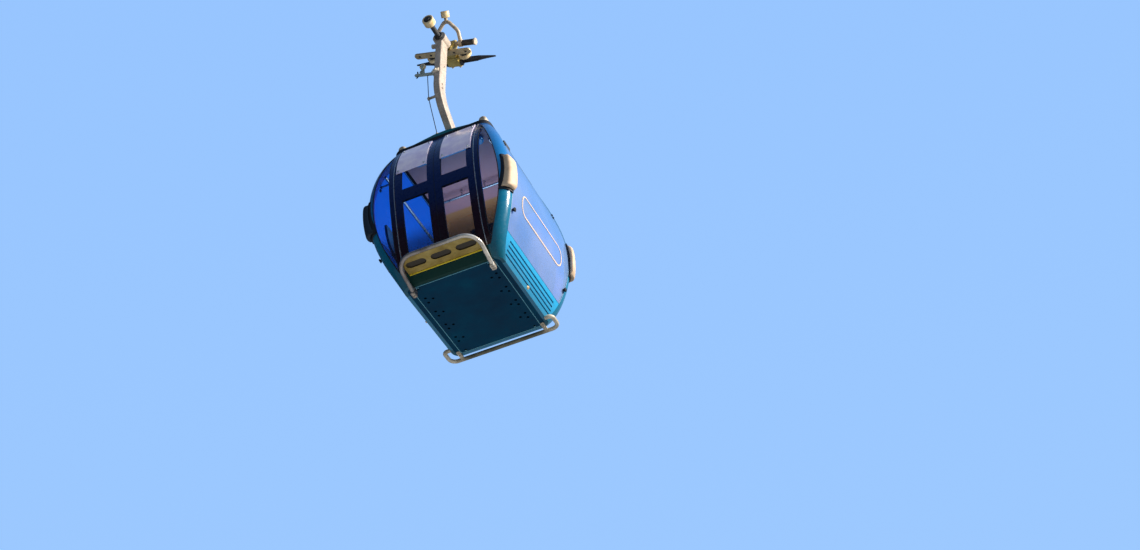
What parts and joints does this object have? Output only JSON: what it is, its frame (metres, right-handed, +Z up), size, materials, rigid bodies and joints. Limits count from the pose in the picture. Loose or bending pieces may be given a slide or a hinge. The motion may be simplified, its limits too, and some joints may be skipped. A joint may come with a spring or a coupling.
{
  "type": "cable car cabin",
  "caption": "Egg-shaped glazed cable car cabin on a bent hanger arm with a sprung rope grip, centre doors, step and bumper pads.",
  "frame": {"origin": "middle of the rope's axis in the grip's jaws", "axes": "+Z up, +X the way that the cabin travels, doors on the -Y side; the rope runs down towards +X at 19 degrees"},
  "size_m": [1.8866, 2.0516, 4.492],
  "materials": {
    "hoop_paint": "gloss",
    "skirt_paint": "gloss",
    "dark_paint": "satin",
    "floor_paint": "satin",
    "tinted_glass": "clear",
    "end_glass": "clear",
    "vent_plastic": "clear",
    "ceiling_plastic": "matte",
    "black_trim": "matte",
    "pad_rubber": "matte",
    "galvanised": "matte",
    "rail_steel": "satin",
    "ochre_plate": "matte",
    "grip_steel": "matte",
    "dark_steel": "matte",
    "wheel_plastic": "matte",
    "bench_plastic": "matte",
    "seat_cover": "matte",
    "cable_black": "matte"
  },
  "bodies": {
    "grip": {"grip_body": "grip_steel", "hanger_shaft": "dark_steel", "drive_plate": "ochre_plate", "rope_tongues": "dark_steel"},
    "cabin": {"hoop_door": "hoop_paint", "hoop_back": "hoop_paint", "end_skirt_front": "skirt_paint", "end_skirt_rear": "skirt_paint", "back_skirt": "skirt_paint", "end_window_front": "end_glass", "end_window_rear": "end_glass", "back_window": "tinted_glass", "door_posts": "dark_paint", "quarter_windows": "tinted_glass", "door_panes": "tinted_glass", "door_leaf_front": "dark_paint", "door_leaf_rear": "dark_paint", "vent_covers": "vent_plastic", "base_ring": "floor_paint", "floor_pan": "floor_paint", "ceiling": "ceiling_plastic", "gutter": "black_trim", "roof_cap": "skirt_paint", "roof_rails": "galvanised", "pads": "pad_rubber", "pad_backings": "black_trim", "step_tube": "rail_steel", "step_plate": "ochre_plate", "back_bar": "rail_steel", "bench_front": "bench_plastic", "bench_rear": "bench_plastic", "seat_front": "seat_cover", "seat_rear": "seat_cover", "end_rails": "rail_steel", "ceiling_rail": "rail_steel", "back_rail": "dark_paint", "door_drive_cover": "skirt_paint", "hanger_beam": "galvanised", "hanger_arm": "galvanised", "door_lever": "galvanised", "door_cable": "cable_black", "cable_clip": "galvanised", "cable_gland": "galvanised"},
    "clamp": {"clamp_lever": "galvanised", "spring_case": "dark_steel"},
    "lever_roller": {"lever_roller": "wheel_plastic"},
    "guide_roller": {"guide_roller": "wheel_plastic"},
    "running_wheel_front": {"running_wheel_front": "wheel_plastic"},
    "running_wheel_rear": {"running_wheel_rear": "wheel_plastic"}
  },
  "joints": [
    {"name": "hanger_swing", "type": "hinge", "parent": "grip", "child": "cabin", "pos_m": [0, 0, 0], "axis": [0, 1, 0], "range_deg": [-21, 59]},
    {"name": "clamp_open", "type": "hinge", "parent": "grip", "child": "clamp", "pos_m": [0.03256, -0.22, 0.09455], "axis": [0.9455, 0, -0.3256], "range_deg": [0, 18], "stiffness_Nm_per_rad": 400, "springref_deg": -28.65},
    {"name": "lever_roller_spin", "type": "hinge", "parent": "clamp", "child": "lever_roller", "pos_m": [0.11525, -0.5, 0.33471], "axis": [0.2187, -0.7407, 0.6353], "continuous": true},
    {"name": "guide_roller_spin", "type": "hinge", "parent": "grip", "child": "guide_roller", "pos_m": [0, -0.76, 0], "axis": [0, 1, 0], "continuous": true},
    {"name": "running_wheel_front_spin", "type": "hinge", "parent": "grip", "child": "running_wheel_front", "pos_m": [0.20014, -0.16, -0.10064], "axis": [0, 1, 0], "continuous": true},
    {"name": "running_wheel_rear_spin", "type": "hinge", "parent": "grip", "child": "running_wheel_rear", "pos_m": [-0.21967, -0.16, 0.04391], "axis": [0, 1, 0], "continuous": true}
  ]
}
